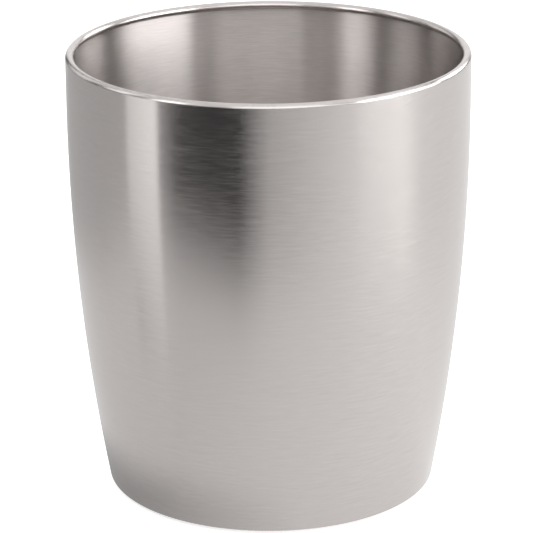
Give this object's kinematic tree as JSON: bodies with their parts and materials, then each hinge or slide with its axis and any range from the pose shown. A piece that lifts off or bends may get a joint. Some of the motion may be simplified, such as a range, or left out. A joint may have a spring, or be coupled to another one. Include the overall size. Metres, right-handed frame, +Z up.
{
  "type": "wastebasket",
  "caption": "Round open-top steel wastebasket with a curved tapering wall, a curled rim bead, a pressed bottom and non-slip pads, for dry waste in an office.",
  "frame": {"origin": "on the floor under the middle of the base, at the plane of the pads' undersides", "axes": "+Z up along the axis the basket is turned about, -Y towards the viewer in front"},
  "size_m": [0.227, 0.227, 0.254],
  "materials": {
    "brushed_shell": "stainless steel brushed round the wall, inside and out",
    "pressed_bottom": "stainless steel sheet with a mill finish",
    "hoop_wire": "drawn steel wire, hidden inside the curl",
    "pad_rubber": "matt black rubber"
  },
  "bodies": {
    "root": {"body_shell": "brushed_shell", "rim_wire": "hoop_wire", "bottom_pan": "pressed_bottom", "foot_pad_1": "pad_rubber", "foot_pad_2": "pad_rubber", "foot_pad_3": "pad_rubber", "foot_pad_4": "pad_rubber"}
  },
  "joints": []
}
